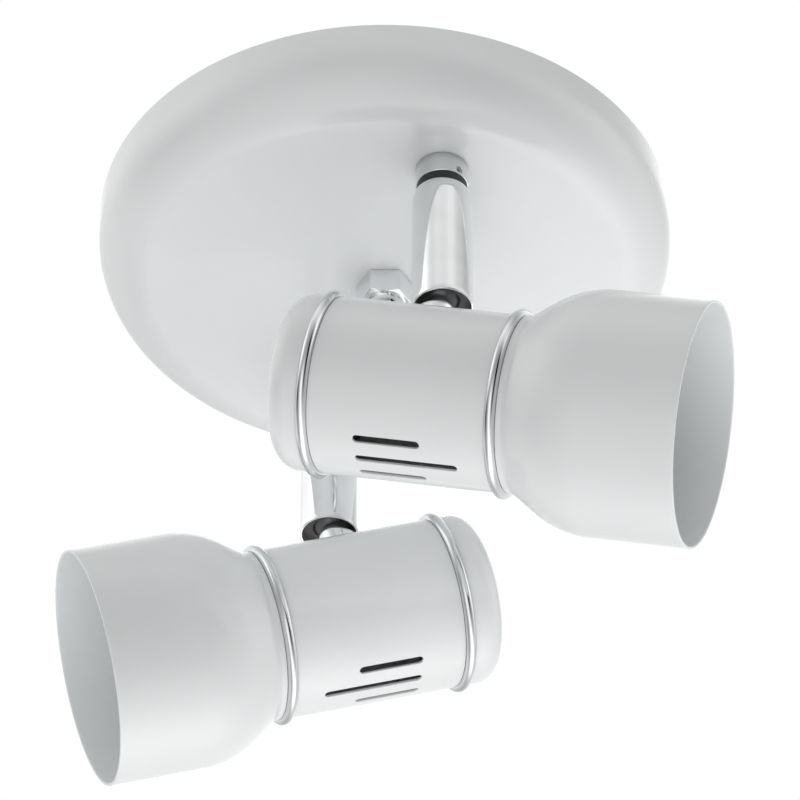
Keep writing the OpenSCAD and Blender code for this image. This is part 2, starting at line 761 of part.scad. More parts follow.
module neck_nut() color(zinc) hex_nut(neck_nut_af, nut_low, nut_low + neck_nut_h, shank_r);

module body_tube() color(white_paint) difference() {
    bar_x(body_r, rear_seam + half_ring, front_seam - half_ring);
    bar_x(body_bore_r, rear_seam, front_seam);
    rod(shank_r + fit, 0, body_r + over);
    for (i = [-1, 0, 1]) rotate([i * vent_step, 0, 0]) {
        slot_len = i == 0 ? vent_long : vent_short;
        translate([slot_len / 2 - vent_rear_x, 0, -body_r - over])
            linear_extrude(body_wall + 2 * over) stadium(slot_len, vent_w);
    }
}

module rear_cap() color(white_paint) turned_x() difference() {
    cap_section(body_r, cap_end, cap_round);
    cap_section(body_bore_r, cap_end + body_wall, cap_round - body_wall, over);
}

// Section of the rear cap: radius r, from its end x forwards to the rear ring
module cap_section(r, x, round, past = 0) {
    band(0, r - round, x, cap_front + past);
    band(0, r, x + round, cap_front + past);
    intersection() {
        translate([r - round, x + round]) circle(r = round);
        band(r - round - over, r, x, x + round);
    }
}

// Ring with a half-round bead between two pieces and a sleeve inside both
module seam_ring(x) color(chrome) turned_x() {
    bead_r = ring_w / 2;
    band(sleeve_r - ring_sleeve_t, sleeve_r, x - half_ring - ring_sleeve + fit,
        x + half_ring + ring_sleeve - fit);
    band(sleeve_r - ring_sleeve_t, ring_d / 2 - bead_r, x - bead_r, x + bead_r);
    translate([ring_d / 2 - bead_r, x]) circle(r = bead_r);
}

module shade() color(white_paint) turned_x() difference() {
    shade_section(0);
    shade_section(shade_wall, over);
}

// Section of the shade, drawn in by a wall: a straight neck, a cone, a bend and a straight mouth
module shade_section(wall, past = 0) {
    neck_r = shade_neck_r - wall;
    bend_point = function (a) [mouth_r - flare_round + (flare_round - wall) * cos(a),
        straight_x - (flare_round - wall) * sin(a)];
    polygon(concat([[0, shade_x - past], [neck_r, shade_x - past],
            [neck_r, shade_x + shade_neck + wall * tan(flare_angle / 2)]],
        [for (i = [flare_steps : -1 : 0]) bend_point(flare_angle * i / flare_steps)],
        [[mouth_r - wall, mouth_x + past], [0, mouth_x + past]]));
}

module lampholder() color(ceramic) difference() {
    union() {
        bar_x(holder_rear_d / 2, holder_rear, holder_rear + holder_rear_len);
        bar_x(holder_d / 2, holder_rear + holder_rear_len, holder_front);
        bar_x(stub_d / 2, holder_nut_rear + fit, holder_rear);
    }
    bar_x(holder_bore_r, holder_floor_x, holder_front + over);
    for (s = [-1, 1]) translate([wire_hole_x, s * lead_pitch / 2, 0])
        rod(wire_hole_d / 2, holder_d / 2 - wire_hole_depth, holder_d / 2 + over);
}

// Threaded shell around the lamp's cap, and the sprung contact at its tip
module holder_contacts() color(brass) {
    turned_x() band(holder_bore_r - fit - contact_wall, holder_bore_r - fit,
        lamp_tip + cap_nose_len, contact_front);
    turned_x() {
        band(0, contact_base_r, holder_floor_x + fit, holder_floor_x + fit + contact_h / 2);
        band(0, contact_tip_r, holder_floor_x + fit, holder_floor_x + fit + contact_h);
    }
}

// Plate across the rear of the head that carries the lampholder
module holder_bracket() color(zinc) difference() {
    turned_x() intersection() {
        band(0, body_r, bracket_rear, bracket_front);
        cap_section(body_bore_r - fit, cap_end + body_wall + fit, cap_round - body_wall - fit);
    }
    bar_x(stub_d / 2 + fit, bracket_rear - over, bracket_front + over);
    for (a = [45 : 90 : 315]) rotate([a, 0, 0]) translate([0, 0, (body_bore_r + stub_d / 2) / 2])
        bar_x(bracket_vent_r, bracket_rear - over, bracket_front + over);
}

module holder_nut() color(zinc) rotate([0, 90, 0])
    hex_nut(holder_nut_af, holder_nut_rear, bracket_rear - fit, stub_d / 2);

// Section of the lamp's glass, from the cap's rim to its face, drawn in by a wall
function bulb_r(t) = lamp_neck_d / 2 + (lamp_d - lamp_neck_d) / 2 * pow(sin(90 * t), 1.6);
function bulb_profile(wall) = concat([[bulb_r(0) - wall, lamp_tip + lamp_rim]],
    [for (k = [0 : lamp_steps]) let (t = k / lamp_steps)
        [bulb_r(t) - wall, lamp_tip + lamp_cap_len + t * (lamp_len - lamp_cap_len - lamp_edge)]],
    [[lamp_d / 2 - lamp_edge_mid[0] - wall, lamp_face - lamp_edge_mid[1]],
     [lamp_d / 2 - lamp_edge_end[0] - wall, lamp_face - lamp_edge_end[1] - wall],
     [lamp_d / 4, lamp_face - lamp_crown - wall],
     [0, lamp_face - wall], [0, lamp_tip + lamp_rim]]);

module lamp_glass() color(clear_glass) turned_x() difference() {
    polygon(bulb_profile(0));
    polygon(bulb_profile(glass_wall));
    band(0, bulb_r(0) - glass_wall, lamp_tip, lamp_tip + lamp_rim + over);
}

// Screw cap: a tip that steps out to the threaded shell
module lamp_cap() color(chrome) turned_x() difference() {
    union() {
        polygon([[0, lamp_tip], [2, lamp_tip], [2.6, lamp_tip + 1.2], [4.6, lamp_tip + 2],
            [cap_shell_r, lamp_tip + cap_nose_len], [cap_shell_r, lamp_tip + lamp_cap_len],
            [0, lamp_tip + lamp_cap_len]]);
        for (k = [0 : cap_bead_count - 1])
            translate([lamp_cap_d / 2 - cap_bead_r, lamp_tip + cap_nose_len + 2 + cap_bead_pitch * k])
                circle(r = cap_bead_r);
    }
    band(0, lamp_neck_d / 2 + fit, lamp_tip + lamp_rim, lamp_tip + lamp_cap_len + over);
}

module head_leads() color(lead_white) lead_pair(head_route, head_spread, [0, 1, 0], [0, 1, 0]);

ceiling_plate();
ceiling_strap();
centre_stud();
stud_nut();
cap_nut();
terminal_block();
terminal_tubes();
terminal_screws();
earth_screw();
collar(0);  // collar_a
collar(1);  // collar_b
collar_nipples();
nipple_nuts();
stop_screws();
turning_washers();
plate_leads();
at_stem(0) stem_tube();  // stem_tube_a
at_stem(0) stem_spigot();  // stem_spigot_a
at_stem(0) spacer_sleeve();  // spacer_sleeve_a
at_stem(0) joint_spring();  // joint_spring_a
at_stem(0) ball_cup();  // ball_cup_a
at_stem(0) ball_seat();  // ball_seat_a
at_stem(0) stem_leads();  // stem_leads_a
at_stem(1) stem_tube();  // stem_tube_b
at_stem(1) stem_spigot();  // stem_spigot_b
at_stem(1) spacer_sleeve();  // spacer_sleeve_b
at_stem(1) joint_spring();  // joint_spring_b
at_stem(1) ball_cup();  // ball_cup_b
at_stem(1) ball_seat();  // ball_seat_b
at_stem(1) stem_leads();  // stem_leads_b
at_head(0) swivel_ball();  // swivel_ball_a
at_head(0) neck_saddle();  // neck_saddle_a
at_head(0) neck_nut();  // neck_nut_a
at_head(0) body_tube();  // body_tube_a
at_head(0) rear_cap();  // rear_cap_a
at_head(0) seam_ring(rear_seam);  // rear_ring_a
at_head(0) seam_ring(front_seam);  // front_ring_a
at_head(0) shade();  // shade_a
at_head(0) lampholder();  // lampholder_a
at_head(0) holder_contacts();  // holder_contacts_a
at_head(0) holder_bracket();  // holder_bracket_a
at_head(0) holder_nut();  // holder_nut_a
at_head(0) lamp_glass();  // lamp_glass_a
at_head(0) lamp_cap();  // lamp_cap_a
at_head(0) head_leads();  // head_leads_a
at_head(1) swivel_ball();  // swivel_ball_b
at_head(1) neck_saddle();  // neck_saddle_b
at_head(1) neck_nut();  // neck_nut_b
at_head(1) body_tube();  // body_tube_b
at_head(1) rear_cap();  // rear_cap_b
at_head(1) seam_ring(rear_seam);  // rear_ring_b
at_head(1) seam_ring(front_seam);  // front_ring_b
at_head(1) shade();  // shade_b
at_head(1) lampholder();  // lampholder_b
at_head(1) holder_contacts();  // holder_contacts_b
at_head(1) holder_bracket();  // holder_bracket_b
at_head(1) holder_nut();  // holder_nut_b
at_head(1) lamp_glass();  // lamp_glass_b
at_head(1) lamp_cap();  // lamp_cap_b
at_head(1) head_leads();  // head_leads_b
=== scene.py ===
import json
import math

import bmesh
import bpy
import numpy as np
from mathutils import Matrix, Vector


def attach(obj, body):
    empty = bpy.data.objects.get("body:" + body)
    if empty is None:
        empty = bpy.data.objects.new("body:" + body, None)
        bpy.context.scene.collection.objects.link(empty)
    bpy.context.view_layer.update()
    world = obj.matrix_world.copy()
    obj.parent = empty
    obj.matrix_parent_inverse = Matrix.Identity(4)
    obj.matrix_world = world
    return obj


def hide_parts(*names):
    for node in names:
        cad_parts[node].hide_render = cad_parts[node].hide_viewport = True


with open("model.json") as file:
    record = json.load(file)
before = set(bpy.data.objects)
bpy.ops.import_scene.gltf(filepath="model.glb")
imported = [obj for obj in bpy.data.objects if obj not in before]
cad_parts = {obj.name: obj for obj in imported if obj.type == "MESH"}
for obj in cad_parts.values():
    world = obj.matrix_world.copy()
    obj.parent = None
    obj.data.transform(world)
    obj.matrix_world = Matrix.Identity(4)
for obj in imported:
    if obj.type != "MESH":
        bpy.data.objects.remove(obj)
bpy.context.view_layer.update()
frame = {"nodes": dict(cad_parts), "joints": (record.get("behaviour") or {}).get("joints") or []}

# Sizes in millimetres, as in the part's source
MM = 0.001
OVER = 0.05
PLATE_R, PLATE_H, PLATE_ROUND, PLATE_WALL = 90.0, 26.2, 17.0, 1.0
NUT_AF, NUT_HEX_H, NUT_DOME_R = 16.0, 8.6, 6.6
STUD_R, STUD_TOP = 4.0, -0.2
COLLAR_R, COLLAR_H, COLLAR_BORE = 8.1, 7.4, 5.95
NIPPLE_R, NIPPLE_BORE, NIPPLE_GRIP = 5.0, 3.6, 4.0
NIPPLE_TOP = -PLATE_H + PLATE_WALL + OVER + 6.0
POLE_X, POLE_Z, BLOCK_W = -26.25, -8.3, 17.0
STOP_R, STOP_RISE, STOP_BEARING = 1.3, 1.8, math.radians(-49.3)
WASHER_R, WASHER_T = 7.8, 3.4
STEM_R, STEM_WALL, STEM_LEN, SHOULDER_H, SHOULDER_IN, CROWN_T = 9.25, 0.65, 45.8, 4.0, 0.85, 2.0
BALL_R, STALK_R, NECK_R, NECK_DROP, HEAD_DROP = 6.4, 3.4, 6.0, 6.2, 40.0
BODY_R, BODY_WALL, SHANK_R, SHANK_END = 26.5, 0.9, 4.0, 17.3
REAR_SEAM, FRONT_SEAM, RING_R, RING_W, SLEEVE, SLEEVE_T = -24.95, 32.4, 28.3, 3.2, 4.0, 0.8
CAP_LEN, CAP_ROUND = 10.4, 6.5
VENT_W, VENT_SHORT, VENT_LONG, VENT_REAR, VENT_STEP = 2.5, 20.4, 31.2, -9.4, math.radians(16.5)
VENT_FIELD = (-13.5, 26.5)
MOUTH_R, SHADE_LEN, SHADE_NECK, SHADE_WALL = 36.6, 56.0, 2.0, 0.9
FLARE, FLARE_R = math.radians(34), 30.0
LAMP_R, LAMP_NECK_R, LAMP_TIP, LAMP_FACE = 25.0, 5.5, -19.95, 65.05
CAP_RIM, CAP_LEN_LAMP, LAMP_CAP_R = 22.0, 23.0, 6.9
LAMP_PITCH, LAMP_ROOT_IN, LAMP_CREST = 2.8, 0.62, 0.58
LEAD_R = 0.9
TILT = {"a": math.radians(14.9), "b": math.radians(17.6)}

COLLAR_END = -PLATE_H - OVER - COLLAR_H
STEM_Z = COLLAR_END - OVER - WASHER_T - OVER
STEM_END = STEM_Z - STEM_LEN
HALF_RING = RING_W / 2 + OVER


# Places

joints = {j["name"]: j for j in frame["joints"]}


def place_matrix(side):
    """Frame of a stem's place on the plate: origin in the ceiling's plane, in millimetres."""
    x, y, _ = joints["pan_" + side]["pos_m"]
    turn = 0 if side == "a" else math.pi
    return Matrix.Translation((x, y, 0)) @ Matrix.Rotation(turn, 4, "Z") @ Matrix.Scale(MM, 4)


def stem_matrix(side):
    """Frame of a stem: as its place on the plate, turned to the bearing of its head."""
    x, y, _ = joints["pan_" + side]["pos_m"]
    across = joints["tilt_" + side]["axis"]
    bearing = math.atan2(-across[0], across[1])
    return Matrix.Translation((x, y, 0)) @ Matrix.Rotation(bearing, 4, "Z") @ Matrix.Scale(MM, 4)


def head_matrix(side):
    """Frame of a head: +X to the mouth, its origin on the head's axis below the ball."""
    ball = joints["tilt_" + side]["pos_m"]
    across = joints["tilt_" + side]["axis"]
    bearing = math.atan2(-across[0], across[1])
    return (Matrix.Translation(ball) @ Matrix.Rotation(bearing, 4, "Z")
            @ Matrix.Rotation(TILT[side], 4, "Y") @ Matrix.Scale(MM, 4)
            @ Matrix.Translation((0, 0, -HEAD_DROP)))


# Turns +Z into +X, for pieces turned about the head's axis
ALONG_X = Matrix.Rotation(math.pi / 2, 4, "Y")


# Surfaces

def filleted(corners, closed=False, steps=5):
    """Outline through the corners (u, v, radius). Each corner with a radius gives way to an
    arc that touches both of its sides; a closed outline repeats its first point at the end."""
    points = []
    count = len(corners)
    for i, (u, v, radius) in enumerate(corners):
        here = np.array([u, v], float)
        if radius <= 0 or (not closed and i in (0, count - 1)):
            points.append(here[None])
            continue
        before = np.array(corners[i - 1][:2], float) - here
        after = np.array(corners[(i + 1) % count][:2], float) - here
        before, after = before / np.linalg.norm(before), after / np.linalg.norm(after)
        half = math.acos(np.clip(before @ after, -1, 1)) / 2
        centre = here + (before + after) / np.linalg.norm(before + after) * radius / math.sin(half)
        start = here + before * radius / math.tan(half) - centre
        stop = here + after * radius / math.tan(half) - centre
        sweep = math.pi - 2 * half
        share = np.linspace(0, 1, steps + 1)[:, None]
        arc = (np.sin((1 - share) * sweep) * start + np.sin(share * sweep) * stop) / math.sin(sweep)
        points.append(centre + arc)
    outline = np.concatenate(points)
    return np.concatenate([outline, outline[:1]]) if closed else outline


def arc(centre, radius, start, stop, steps):
    """Points (u, v) on a circle, from one angle to another in degrees."""
    a = np.radians(np.linspace(start, stop, steps + 1))
    return np.stack([centre[0] + radius * np.cos(a), centre[1] + radius * np.sin(a)], -1)


def revolved(outline, turns=144):
    """Grid of points: each outline point (radius, height) carried round the Z axis."""
    a = np.linspace(0, 2 * np.pi, turns + 1)
    r, z = np.asarray(outline, float).T
    r, z = r[:, None], np.repeat(z[:, None], turns + 1, 1)
    return np.stack([r * np.cos(a), r * np.sin(a), z], -1)


def threaded(crest, depth, pitch, low, high, bore=0, turns=48, per_pitch=6):
    """Screw thread: the radius falls from the crest by a rounded wave of one thread per
    pitch that climbs as it turns, and fades out over half a pitch at both ends. With a bore,
    the ends are rings and the last row closes on the first."""
    a = np.linspace(0, 2 * np.pi, turns + 1)
    z = np.linspace(low, high, int((high - low) / pitch * per_pitch) + 1)[:, None]
    wave = 0.5 - 0.5 * np.cos(2 * np.pi * (z / pitch - a / (2 * np.pi)))
    fade = np.clip(np.minimum(z - low, high - z) / (pitch / 2), 0, 1)
    r = crest - depth * (1 - wave ** 0.7) * fade
    side = np.stack([r * np.cos(a), r * np.sin(a), np.broadcast_to(z, r.shape)], -1)
    ends = [np.stack([bore * np.cos(a), bore * np.sin(a), 0 * a + height], -1)[None]
            for height in (low, high)]
    return np.concatenate([ends[0], side, ends[1], ends[0]][:4 if bore else 3])


def spline(points, steps):
    """Catmull-Rom curve through the points, its ends repeated."""
    p = np.asarray(points, float)
    p = np.concatenate([p[:1], p, p[-1:]])
    t = np.linspace(0, 1, steps, endpoint=False)[:, None, None]
    a, b, c, d = p[:-3], p[1:-2], p[2:-1], p[3:]
    curve = 0.5 * (2 * b + (c - a) * t + (2 * a - 5 * b + 4 * c - d) * t ** 2
                   + (3 * b - 3 * c + d - a) * t ** 3)
    return np.concatenate([curve.transpose(1, 0, 2).reshape(-1, 3), p[-2:-1]])


def tube_along(path, radius, sides=14):
    """Round tube: a circle carried square to the path, its ends drawn in to a point."""
    path = np.asarray(path, float)
    ahead = np.gradient(path, axis=0)
    ahead /= np.linalg.norm(ahead, axis=1)[:, None]
    side = np.cross(ahead, [0.77, 0.64, 0.05])
    side /= np.linalg.norm(side, axis=1)[:, None]
    other = np.cross(ahead, side)
    a = np.linspace(0, 2 * np.pi, sides + 1)[None, :, None]
    rings = path[:, None] + radius * (side[:, None] * np.cos(a) + other[:, None] * np.sin(a))
    ends = [np.repeat(path[i][None, None], sides + 1, 1) for i in (0, -1)]
    return np.concatenate([ends[0], rings, ends[1]])


def grid_faces(rows, columns):
    """Quads of a grid: each joins a point to the next in its row and in its column."""
    i, j = np.mgrid[0:rows - 1, 0:columns - 1]
    a = i * columns + j
    return np.stack([a, a + 1, a + columns + 1, a + columns], -1).reshape(-1, 4)


def grid_piece(grid):
    """A grid's points in one list, and its faces."""
    rows, columns, _ = grid.shape
    return grid.reshape(-1, 3), grid_faces(rows, columns)


def joined(*parts):
    """Several (points, faces) as one, the faces of each numbered on from those before."""
    points, faces, past = [], [], 0
    for p, f in parts:
        points.append(p)
        faces.append(f + past)
        past += len(p)
    return np.concatenate(points), np.concatenate(faces)


def pierced_tube(outer, inner, low, high, edge, openings, step_z, step_turn):
    """Tube along Z with openings that have straight sides and round ends.

    openings: (length, width, z, turn, patch) with the opening's middle at height z and angle
    turn, and patch (z0, z1, half_turn), the part of the wall that is meshed round it. There,
    rows of points run from the patch's border to the opening's rim by straight shares, where
    a border point's rim point is the nearest on the opening's outline. The rows go down
    through the wall over a rounded edge and out again on the inner side."""
    def marks(stops, step):
        """Values between the stops, evenly spaced by about the step."""
        spans = [np.linspace(a, b, max(1, round((b - a) / step)) + 1)[:-1]
                 for a, b in zip(stops[:-1], stops[1:])]
        return np.concatenate(spans + [[stops[-1]]])

    turns0 = openings[0][3] - openings[0][4][2]
    z_stops, t_stops = {low + edge, high - edge}, {turns0, turns0 + 2 * math.pi}
    for _, _, _, turn, (z0, z1, half) in openings:
        z_stops |= {z0, z1}
        t_stops |= {turn - half, turn + half}

    def distinct(stops):
        """The stops in order, without those that fall together."""
        kept = []
        for s in sorted(stops):
            if not kept or s - kept[-1] > 1e-6:
                kept.append(s)
        return kept

    zs, ts = marks(distinct(z_stops), step_z), marks(distinct(t_stops), step_turn)

    bend = np.linspace(0, np.pi / 2, 4)[1:-1]
    row_r = np.concatenate([0 * zs + outer, outer - edge * (1 - np.cos(bend)),
                            [outer - edge, inner + edge], inner + edge * (1 - np.sin(bend)),
                            0 * zs + inner, inner + edge * (1 - np.cos(bend)),
                            [inner + edge, outer - edge], outer - edge * (1 - np.sin(bend)), [outer]])
    row_z = np.concatenate([zs, high - edge * (1 - np.sin(bend)), [high, high],
                            high - edge * (1 - np.cos(bend)),
                            zs[::-1], low + edge * (1 - np.sin(bend)), [low, low],
                            low + edge * (1 - np.cos(bend)), [zs[0]]])
    grid = np.stack([row_r[:, None] * np.cos(ts), row_r[:, None] * np.sin(ts),
                     np.repeat(row_z[:, None], len(ts), 1)], -1)
    points, faces = grid_piece(grid)
    i, j = np.mgrid[0:len(row_r) - 1, 0:len(ts) - 1]
    mid_z = (row_z[i] + row_z[i + 1]) / 2
    mid_t = (ts[j] + ts[j + 1]) / 2
    on_wall = (np.abs(row_r[i] - row_r[i + 1]) < 1e-9) & (np.abs(row_z[i] - row_z[i + 1]) > 1e-9)
    keep = np.ones(i.shape, bool)
    parts = []
    for length, width, z, turn, (z0, z1, half) in openings:
        keep &= ~(on_wall & (mid_z > z0) & (mid_z < z1)
                  & (mid_t > turn - half) & (mid_t < turn + half))
        pz = zs[(zs > z0 - 1e-6) & (zs < z1 + 1e-6)]
        pt = ts[(ts > turn - half - 1e-6) & (ts < turn + half + 1e-6)]
        border_z = np.concatenate([pz, 0 * pt[1:] + pz[-1], pz[::-1][1:], 0 * pt[1:] + pz[0]])
        border_t = np.concatenate([0 * pz + pt[0], pt[1:], 0 * pz[1:] + pt[-1], pt[::-1][1:]])
        reach = (length - width) / 2
        core = np.clip(border_z, z - reach, z + reach)
        away = np.stack([border_z - core, (border_t - turn) * outer], -1)
        away *= width / 2 / np.linalg.norm(away, axis=1)[:, None]
        rim_z, rim_t = core + away[:, 0], turn + away[:, 1] / outer
        share = np.array([1, 0.72, 0.48, 0.28, 0.13, 0.04])[:, None]
        shares = np.concatenate([share, [[0]] * 6, share[::-1]])
        round_r = min(0.25 * (outer - inner), 0.2)
        radii = np.concatenate([[outer] * 6, outer - round_r * np.array([0.12, 0.5, 1.0]),
                                inner + round_r * np.array([1.0, 0.5, 0.12]), [inner] * 6])[:, None]
        pull = np.concatenate([[0] * 6, [0.5, 0.12, 0], [0, 0.12, 0.5], [0] * 6])[:, None] * round_r
        spread = 1 + pull / (width / 2)
        at_z = core + (rim_z - core) * spread + (border_z - rim_z) * shares
        at_t = turn + (rim_t - turn) * spread + (border_t - rim_t) * shares
        parts.append(grid_piece(np.stack([radii * np.cos(at_t), radii * np.sin(at_t), at_z], -1)))
    return joined((points, faces[keep.reshape(-1)]), *parts)


# Pieces

def make_piece(name, body, shape, place, materials, replaces=(), sharp=38, zones=None):
    """Puts (points, faces) in place, closes its seams and poles, and lets it ride on a body.
    zones gives the index of each face's material."""
    points, faces = shape
    turn = np.array(place.to_3x3())
    points = points @ turn.T + np.array(place.translation)
    mesh = bpy.data.meshes.new(name)
    mesh.from_pydata(points.tolist(), [], faces.tolist())
    for m in materials:
        mesh.materials.append(m)
    if zones is not None:
        mesh.polygons.foreach_set("material_index", np.asarray(zones, np.int32))
    closing = bmesh.new()
    closing.from_mesh(mesh)
    bmesh.ops.remove_doubles(closing, verts=closing.verts, dist=2e-6)
    bmesh.ops.dissolve_degenerate(closing, edges=closing.edges, dist=1e-7)
    bmesh.ops.recalc_face_normals(closing, faces=closing.faces)
    closing.to_mesh(mesh)
    closing.free()
    mesh.shade_smooth()
    mesh.set_sharp_from_angle(angle=math.radians(sharp))
    piece = bpy.data.objects.new(name, mesh)
    bpy.context.scene.collection.objects.link(piece)
    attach(piece, body)
    if replaces:
        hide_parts(*replaces)
    return piece


def turned(name, body, outline, place, material, replaces=(), turns=144, sharp=38):
    """A piece turned about Z from its outline (radius, height)."""
    return make_piece(name, body, grid_piece(revolved(outline, turns)), place, [material],
                      replaces, sharp)


# Materials

def new_material(name):
    """A material with its node tree and its main shader."""
    material = bpy.data.materials.new(name)
    material.use_nodes = True
    tree = material.node_tree
    return material, tree, tree.nodes["Principled BSDF"]


def add(tree, kind, **settings):
    """A node with its settings: a name that is an input's sets that input."""
    node = tree.nodes.new(kind)
    for key, value in settings.items():
        if key in node.inputs:
            node.inputs[key].default_value = value
        else:
            setattr(node, key, value)
    return node


def noise(tree, scale, detail=3, stretch=(1, 1, 1)):
    """Noise on object coordinates, its scale counted per metre."""
    place = add(tree, "ShaderNodeTexCoord")
    mapping = add(tree, "ShaderNodeMapping", Scale=stretch)
    source = add(tree, "ShaderNodeTexNoise", Scale=scale, Detail=detail)
    tree.links.new(place.outputs["Object"], mapping.inputs["Vector"])
    tree.links.new(mapping.outputs["Vector"], source.inputs["Vector"])
    return source.outputs["Fac"]


def ramp(tree, value, stops):
    """Colour ramp: (position, colour) for each stop."""
    node = add(tree, "ShaderNodeValToRGB")
    elements = node.color_ramp.elements
    while len(elements) < len(stops):
        elements.new(0.5)
    for element, (position, colour) in zip(elements, stops):
        element.position = position
        element.color = (*colour, 1) if len(colour) == 3 else colour
    tree.links.new(value, node.inputs["Fac"])
    return node.outputs["Color"]


def spread(tree, value, low, high):
    """Value from 0 to 1 spread between low and high."""
    node = add(tree, "ShaderNodeMapRange")
    node.inputs["To Min"].default_value = low
    node.inputs["To Max"].default_value = high
    tree.links.new(value, node.inputs["Value"])
    return node.outputs["Result"]


def bump(tree, shader, value, depth, strength=1.0):
    """Relief of the given depth in metres."""
    node = add(tree, "ShaderNodeBump", Strength=strength, Distance=depth)
    tree.links.new(value, node.inputs["Height"])
    tree.links.new(node.outputs["Normal"], shader.inputs["Normal"])
    return node


def gloss_paint(name, colour, rough=(0.19, 0.26), peel=0.00002, coat=0.35):
    """Sprayed white enamel: faint cloudiness, orange peel and a slightly uneven gloss."""
    material, tree, shader = new_material(name)
    tone = [tuple(c * k for c in colour) for k in (0.985, 1.0, 1.012)]
    tree.links.new(ramp(tree, noise(tree, 26, 4), [(0.3, tone[0]), (0.5, tone[1]), (0.72, tone[2])]),
                   shader.inputs["Base Color"])
    tree.links.new(spread(tree, noise(tree, 140, 3), *rough), shader.inputs["Roughness"])
    shader.inputs["Coat Weight"].default_value = coat
    shader.inputs["Coat Roughness"].default_value = 0.06
    bump(tree, shader, noise(tree, 650, 2), peel)
    return material


def plated_metal(name, colour, rough, scratch=0.000004, tint=None, grain=(1, 1, 6)):
    """Plated or bare metal: roughness in soft patches, fine marks along one way, and a tint
    that comes and goes."""
    material, tree, shader = new_material(name)
    shader.inputs["Metallic"].default_value = 1.0
    other = tint or tuple(c * 0.94 for c in colour)
    tree.links.new(ramp(tree, noise(tree, 90, 4), [(0.35, other), (0.65, colour)]),
                   shader.inputs["Base Color"])
    tree.links.new(spread(tree, noise(tree, 240, 5, grain), *rough), shader.inputs["Roughness"])
    bump(tree, shader, noise(tree, 2600, 3, grain), scratch)
    return material


def paint_contact_shade(material, level, reach, least):
    """Paints shade into a material towards a level in metres, for the shade where a part meets the
    plate:
    its whole colour at the given reach below the level, and the least share of it at the level."""
    tree = material.node_tree
    shader = tree.nodes["Principled BSDF"]
    colour = shader.inputs["Base Color"].links[0].from_socket
    place = add(tree, "ShaderNodeTexCoord")
    parts = add(tree, "ShaderNodeSeparateXYZ")
    tree.links.new(place.outputs["Object"], parts.inputs[0])
    share = add(tree, "ShaderNodeMapRange", interpolation_type="SMOOTHSTEP")
    for socket, value in (("From Min", level - reach), ("From Max", level), ("To Min", 1.0),
                          ("To Max", least)):
        share.inputs[socket].default_value = value
    tree.links.new(parts.outputs["Z"], share.inputs["Value"])
    dimmed = add(tree, "ShaderNodeVectorMath", operation="SCALE")
    tree.links.new(colour, dimmed.inputs[0])
    tree.links.new(share.outputs["Result"], dimmed.inputs["Scale"])
    tree.links.new(dimmed.outputs[0], shader.inputs["Base Color"])


def moulded_plastic(name, colour, rough=(0.42, 0.55), grain=0.00002):
    """Moulded plastic: slight clouds of tone and gloss, and a fine grain."""
    material, tree, shader = new_material(name)
    darker = tuple(c * 0.8 for c in colour)
    tree.links.new(ramp(tree, noise(tree, 300, 3), [(0.3, darker), (0.7, colour)]),
                   shader.inputs["Base Color"])
    tree.links.new(spread(tree, noise(tree, 900, 2), *rough), shader.inputs["Roughness"])
    bump(tree, shader, noise(tree, 4000, 2), grain)
    return material


def fired_ceramic(name):
    """Unglazed porcelain: off-white with fine dark specks and a dry, slightly pitted face."""
    material, tree, shader = new_material(name)
    specks = ramp(tree, noise(tree, 1500, 2), [(0.27, (0.45, 0.42, 0.36)), (0.33, (0.84, 0.82, 0.75)),
                                              (0.8, (0.88, 0.86, 0.80))])
    tree.links.new(specks, shader.inputs["Base Color"])
    tree.links.new(spread(tree, noise(tree, 400, 3), 0.5, 0.68), shader.inputs["Roughness"])
    bump(tree, shader, noise(tree, 2200, 4), 0.00004)
    return material


def lamp_glass_material(name, colour, rough, through):
    """Etched glass: lets the given share of the light through, with a slightly uneven face."""
    material, tree, shader = new_material(name)
    darker = tuple(c * 0.97 for c in colour)
    tree.links.new(ramp(tree, noise(tree, 60, 3), [(0.3, darker), (0.7, colour)]),
                   shader.inputs["Base Color"])
    tree.links.new(spread(tree, noise(tree, 700, 3), *rough), shader.inputs["Roughness"])
    shader.inputs["Transmission Weight"].default_value = through
    shader.inputs["IOR"].default_value = 1.5
    bump(tree, shader, noise(tree, 1800, 2), 0.00001)
    return material


def braided_sleeve(name):
    """Woven glass-fibre sleeve: fine diagonal ribs both ways over an off-white ground."""
    material, tree, shader = new_material(name)
    place = add(tree, "ShaderNodeTexCoord")
    ribs = []
    for turn in (0.7, -0.7):
        mapping = add(tree, "ShaderNodeMapping", Rotation=(turn, turn, 0.6))
        wave = add(tree, "ShaderNodeTexWave", Scale=700.0, Distortion=1.5)
        tree.links.new(place.outputs["Object"], mapping.inputs["Vector"])
        tree.links.new(mapping.outputs["Vector"], wave.inputs["Vector"])
        ribs.append(wave.outputs["Fac"])
    both = add(tree, "ShaderNodeMath", operation="MULTIPLY")
    tree.links.new(ribs[0], both.inputs[0])
    tree.links.new(ribs[1], both.inputs[1])
    tree.links.new(ramp(tree, both.outputs[0], [(0.0, (0.66, 0.64, 0.58)), (0.6, (0.84, 0.83, 0.78))]),
                   shader.inputs["Base Color"])
    shader.inputs["Roughness"].default_value = 0.6
    bump(tree, shader, both.outputs[0], 0.00008)
    return material


